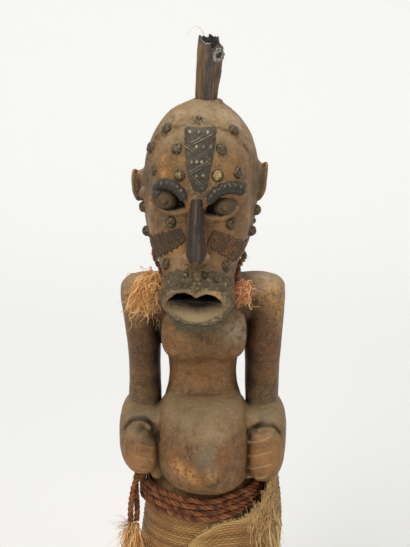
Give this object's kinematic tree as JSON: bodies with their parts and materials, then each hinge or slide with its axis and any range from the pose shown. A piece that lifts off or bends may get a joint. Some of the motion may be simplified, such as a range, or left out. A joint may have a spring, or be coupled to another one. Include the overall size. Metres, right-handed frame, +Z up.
{
  "type": "carved power figure",
  "caption": "Carved wooden power figure with big belly, open mouth, metal face strips, tacks, crown horn, rope belt and raffia cloth, standing on a low round base",
  "frame": {"origin": "middle of the base's underside, on the floor", "axes": "+Z up, the face looks towards -Y, the figure's own left side is at +X"},
  "size_m": [0.1707, 0.1928, 0.6676],
  "materials": {
    "carved_wood": "dusty worn dark patina",
    "horn": "dull weathered horn",
    "resin_charge": "dark lumpy resin",
    "shell_crust": "dull grey shell",
    "dark_sheet_iron": "thin dark oxidised sheet, incised and punched",
    "copper_sheet": "thin dark fluted sheet",
    "tack_brass": "tarnished domed heads",
    "twisted_fibre": "red-brown twisted fibre",
    "raffia": "loose orange raffia strands",
    "raffia_fringe": "loose golden raffia strands",
    "raffia_cloth": "coarse open plain weave, frayed edges"
  },
  "bodies": {
    "root": {"cheek_tack_1": "tack_brass", "cheek_tack_2": "tack_brass", "chin_plate": "dark_sheet_iron", "crown_horn": "horn", "crown_nail": "tack_brass", "figure": "carved_wood", "forehead_strip": "dark_sheet_iron", "forehead_tack_1": "tack_brass", "forehead_tack_2": "tack_brass", "forehead_tack_3": "tack_brass", "forehead_tack_4": "tack_brass", "forehead_tack_5": "tack_brass", "forehead_tack_6": "tack_brass", "hairline_tack_1": "tack_brass", "hairline_tack_2": "tack_brass", "hip_tassel": "raffia_fringe", "horn_charge": "resin_charge", "horn_ring": "shell_crust", "left_brow_strip": "dark_sheet_iron", "left_cheek_band": "copper_sheet", "left_lip_plate": "dark_sheet_iron", "left_raffia_tuft": "raffia", "lip_nail_1": "tack_brass", "lip_nail_2": "tack_brass", "lip_nail_3": "tack_brass", "mouth_tack_1": "tack_brass", "mouth_tack_2": "tack_brass", "neck_cord": "twisted_fibre", "nose_strip": "dark_sheet_iron", "right_brow_strip": "dark_sheet_iron", "right_cheek_band": "copper_sheet", "right_lip_plate": "dark_sheet_iron", "right_raffia_tuft": "raffia", "rope_tail_back": "twisted_fibre", "rope_tail_front": "twisted_fibre", "side_nail_1": "tack_brass", "side_nail_2": "tack_brass", "side_tack_1": "tack_brass", "side_tack_2": "tack_brass", "side_tack_3": "tack_brass", "side_tack_4": "tack_brass", "skirt": "raffia_cloth", "temple_tack": "tack_brass", "waist_rope": "twisted_fibre"}
  },
  "joints": []
}
